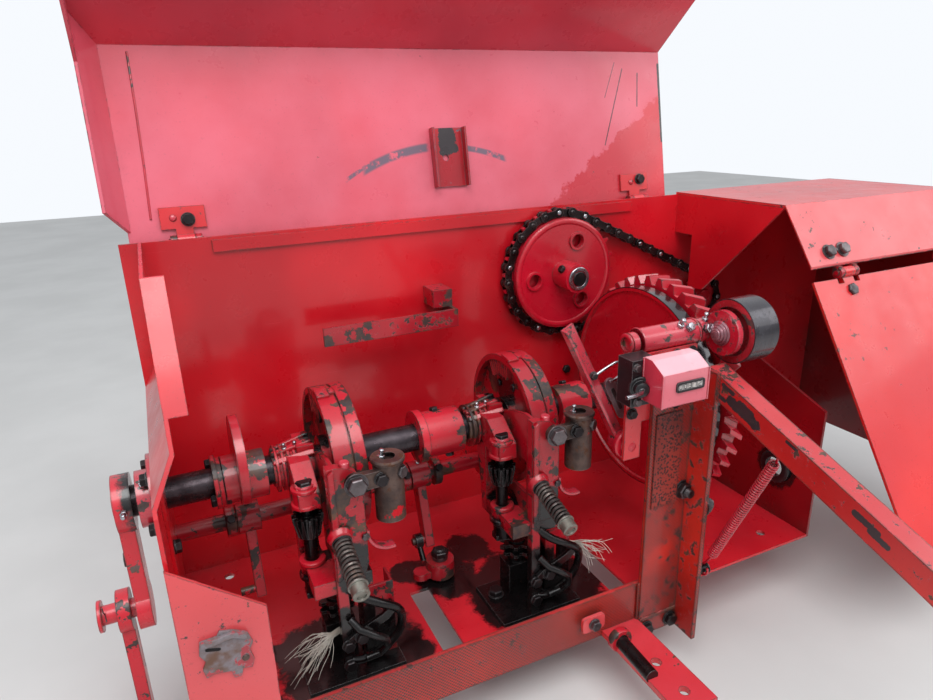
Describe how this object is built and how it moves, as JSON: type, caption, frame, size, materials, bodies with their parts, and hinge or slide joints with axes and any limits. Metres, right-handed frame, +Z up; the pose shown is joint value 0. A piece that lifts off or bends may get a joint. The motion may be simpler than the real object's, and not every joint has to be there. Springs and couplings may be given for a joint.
{
  "type": "twine knotter unit of a square baler",
  "caption": "Sheet-steel housing with open hood, shaft with twin twine knotters, crank, brake drum, chain drive, bale counter and trip roller.",
  "frame": {"origin": "centre of the four base bolt holes, on the underside of the floor plate", "axes": "+X along the knotter shaft from the crank to the drive bay, +Y to the back wall, +Z up"},
  "size_m": [1.3485, 0.7759, 0.8987],
  "materials": {
    "housing_red": "worn gloss paint, greasy low down",
    "panel_red": "gloss paint with scratches and chips",
    "beam_red": "orange-red paint, pitted and rusting",
    "rusty_grip": "worn anti-slip strip, rusty",
    "bolt_steel": "dark greasy bolts and pins",
    "casting_red": "painted castings, chipped and greasy",
    "bare_steel": "bare dark steel",
    "rusty_steel": "brown worn steel",
    "dark_steel": "dark oiled steel",
    "black_grease": "black greased steel",
    "roller_steel": "polished running band, red sides",
    "plated_steel": "plated steel with red overspray",
    "black_plastic": "black",
    "counter_red": "red, faded on top"
  },
  "bodies": {
    "housing": {"floor_plate": "housing_red", "back_wall": "housing_red", "left_wall": "housing_red", "left_doubler": "housing_red", "right_wall": "housing_red", "gusset": "housing_red", "bay_cover": "panel_red", "end_wall": "housing_red", "door_pins": "bolt_steel", "front_beam": "beam_red", "corner_plate": "panel_red", "post": "beam_red", "grip_strip": "rusty_grip", "lower_rail": "panel_red", "wall_bracket": "housing_red", "hinge_pins": "bolt_steel", "bearing_left": "casting_red", "bearing_right": "casting_red", "knotter_frame_1": "casting_red", "knotter_frame_2": "casting_red", "clamp_yoke_1": "rusty_steel", "clamp_yoke_2": "rusty_steel", "twine_holder_1": "black_grease", "twine_holder_2": "black_grease", "guide_channels": "housing_red", "spring_bolt_1": "rusty_steel", "spring_bolt_2": "rusty_steel", "chute_plates": "black_grease", "bell_pin": "bolt_steel", "cross_bearing": "casting_red", "sprockets": "casting_red", "chain": "black_grease", "pivot_tube": "casting_red", "counter_plate": "plated_steel", "counter_body": "black_plastic", "counter_box": "counter_red", "stay_bar": "panel_red", "stay_spring": "casting_red"},
    "hood": {"hood": "panel_red", "hood_channel": "panel_red", "hinge_eyes": "panel_red"},
    "door": {"bay_door": "panel_red"},
    "shaft": {"knotter_shaft": "bare_steel", "collars": "casting_red", "finger_cam": "casting_red", "knotter_disc_1": "casting_red", "knotter_disc_2": "casting_red", "brake_drum": "casting_red", "crank_arm": "casting_red"},
    "link": {"drive_link": "casting_red"},
    "ring": {"gear_ring": "casting_red"},
    "hook_1": {"billhook_1": "dark_steel"},
    "hook_2": {"billhook_2": "dark_steel"},
    "fingers": {"finger_shaft": "casting_red", "finger_levers": "casting_red"},
    "ball_link": {"ball_link": "black_grease"},
    "bell": {"bell_crank": "casting_red"},
    "arm": {"roller_arm": "casting_red"},
    "roller": {"trip_roller": "roller_steel"},
    "trip": {"trip_arm": "casting_red"}
  },
  "joints": [
    {"name": "hood_hinge", "type": "hinge", "parent": "housing", "child": "hood", "pos_m": [-0.0385, 0.182, 0.486], "axis": [1, 0, 0], "range_deg": [0, 100]},
    {"name": "door_hinge", "type": "hinge", "parent": "housing", "child": "door", "pos_m": [0.5615, -0.116, 0.3986], "axis": [-1, 0, 0], "range_deg": [0, 85]},
    {"name": "shaft_spin", "type": "hinge", "parent": "housing", "child": "shaft", "pos_m": [-0.0385, -0.02, 0.24], "axis": [1, 0, 0], "continuous": true},
    {"name": "link_swing", "type": "hinge", "parent": "shaft", "child": "link", "pos_m": [-0.499, -0.02, 0.106], "axis": [1, 0, 0], "continuous": true},
    {"name": "ring_spin", "type": "hinge", "parent": "housing", "child": "ring", "pos_m": [0.2515, -0.02, 0.24], "axis": [1, 0, 0], "continuous": true},
    {"name": "hook_1_spin", "type": "hinge", "parent": "housing", "child": "hook_1", "pos_m": [-0.2935, -0.08, 0.14], "axis": [0, 0, 1], "continuous": true},
    {"name": "hook_2_spin", "type": "hinge", "parent": "housing", "child": "hook_2", "pos_m": [-0.0435, -0.08, 0.14], "axis": [0, 0, 1], "continuous": true},
    {"name": "finger_rock", "type": "hinge", "parent": "housing", "child": "fingers", "pos_m": [-0.2385, 0.044, 0.148], "axis": [1, 0, 0], "range_deg": [-20, 20]},
    {"name": "ball_link_swing", "type": "hinge", "parent": "fingers", "child": "ball_link", "pos_m": [-0.1295, 0.014, 0.06], "axis": [1, 0, 0], "range_deg": [-20, 20]},
    {"name": "bell_swing", "type": "hinge", "parent": "housing", "child": "bell", "pos_m": [-0.1045, -0.004, 0.022], "axis": [0, 0, 1], "range_deg": [-25, 25]},
    {"name": "arm_pivot", "type": "hinge", "parent": "housing", "child": "arm", "pos_m": [0.1515, -0.158, 0.37], "axis": [1, 0, 0], "range_deg": [0, 15]},
    {"name": "roller_spin", "type": "hinge", "parent": "arm", "child": "roller", "pos_m": [0.2315, -0.19, 0.374], "axis": [1, 0, 0], "continuous": true},
    {"name": "trip_pivot", "type": "hinge", "parent": "housing", "child": "trip", "pos_m": [0.0855, -0.152, 0.242], "axis": [0, 1, 0], "range_deg": [-8, 8]}
  ],
  "couplings": [
    {"joint": "ball_link_swing", "follows": "finger_rock", "ratio": -1},
    {"joint": "bell_swing", "follows": "finger_rock", "ratio": 1.2}
  ]
}
